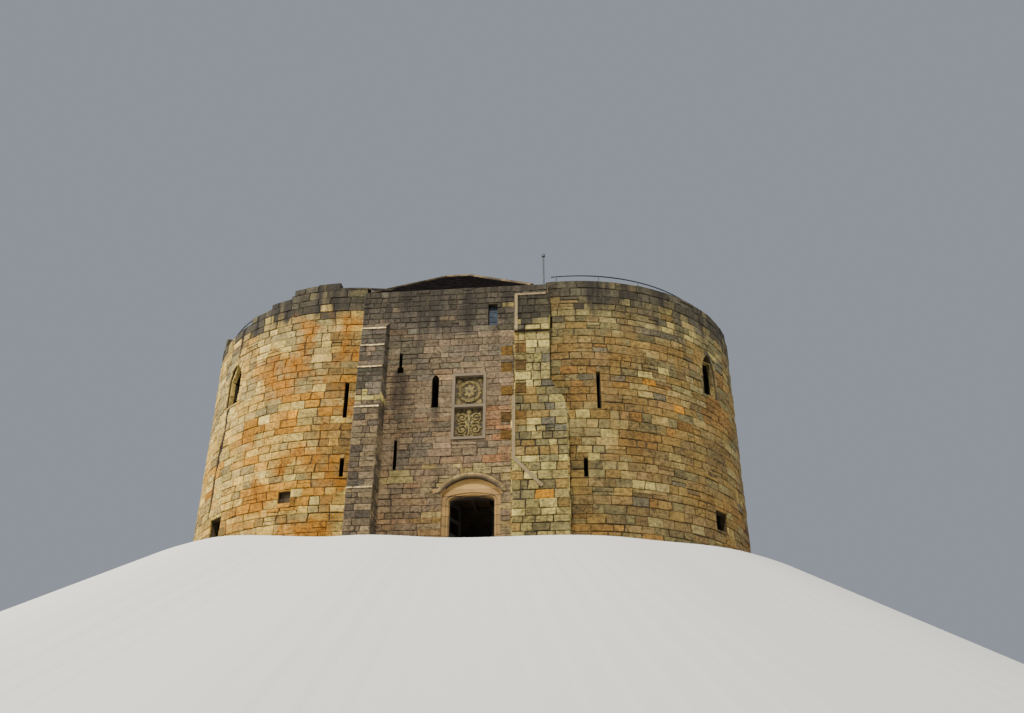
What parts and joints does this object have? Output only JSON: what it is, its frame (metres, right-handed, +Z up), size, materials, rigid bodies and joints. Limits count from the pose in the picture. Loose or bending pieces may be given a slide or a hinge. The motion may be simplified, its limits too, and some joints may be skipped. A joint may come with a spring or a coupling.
{
  "type": "castle keep, quatrefoil plan with a gate building",
  "caption": "Roofless medieval stone keep of four round lobes, with a gate building, stepped buttresses and a pair of framed gate leaves.",
  "frame": {"origin": "bottom centre of the whole building, at ground level", "axes": "+X to the right when facing the entrance, +Y from the entrance to the back, +Z up"},
  "size_m": [20.6, 21.58, 12.1],
  "materials": {
    "shell_stone": "coursed rubble, ochre and weathered",
    "parapet_stone": "weathered dark rubble",
    "gate_stone": "coursed squared stone, pink to grey brown",
    "buttress_stone": "coursed grey-brown stone",
    "dressed_stone": "dressed, weathered",
    "roof_tile": "dark brown plain tiles",
    "floor_oak": "aged oak boards",
    "door_oak": "weathered oak",
    "ironwork": "blackened",
    "rail_metal": "dark satin paint",
    "window_glass": "clear"
  },
  "bodies": {
    "root": {"front_left_wall_face": "shell_stone", "front_left_wall_corner": "shell_stone", "front_left_wall_side": "shell_stone", "front_right_wall_face": "shell_stone", "front_right_wall_corner": "shell_stone", "front_right_wall_side": "shell_stone", "back_left_wall_face": "shell_stone", "back_left_wall_corner": "shell_stone", "back_left_wall_side": "shell_stone", "back_right_wall_face": "shell_stone", "back_right_wall_corner": "shell_stone", "back_right_wall_side": "shell_stone", "front_left_parapet": "parapet_stone", "front_right_parapet": "parapet_stone", "back_left_parapet": "parapet_stone", "back_right_parapet": "parapet_stone", "front_left_handrail": "rail_metal", "front_right_handrail": "rail_metal", "back_left_handrail": "rail_metal", "back_right_handrail": "rail_metal", "gate_front_left": "gate_stone", "gate_front_right": "gate_stone", "gate_front_over_door": "gate_stone", "gate_side_left": "gate_stone", "gate_side_right": "gate_stone", "gate_back_left": "gate_stone", "gate_back_right": "gate_stone", "gate_back_over_door": "gate_stone", "gate_first_floor": "floor_oak", "gate_second_floor": "floor_oak", "gate_roof": "roof_tile", "left_buttress": "buttress_stone", "right_buttress": "buttress_stone", "drip_stone": "dressed_stone", "door_jamb_left": "dressed_stone", "door_jamb_right": "dressed_stone", "door_head": "dressed_stone", "tympanum": "dressed_stone", "hood_mould": "dressed_stone", "panel_frame": "dressed_stone", "carved_panels": "dressed_stone", "upper_window_glass": "window_glass", "mast": "rail_metal", "hinge_hooks": "ironwork"},
    "left_leaf": {"gate_leaf_left": "door_oak", "leaf_straps_left": "ironwork"},
    "right_leaf": {"gate_leaf_right": "door_oak", "leaf_straps_right": "ironwork"}
  },
  "joints": [
    {"name": "left_leaf_hinge", "type": "hinge", "parent": "root", "child": "left_leaf", "pos_m": [0.015, -9.409, 0], "axis": [0, 0, 1], "range_deg": [-70, 20]},
    {"name": "right_leaf_hinge", "type": "hinge", "parent": "root", "child": "right_leaf", "pos_m": [1.815, -9.409, 0], "axis": [0, 0, -1], "range_deg": [-70, 20]}
  ]
}
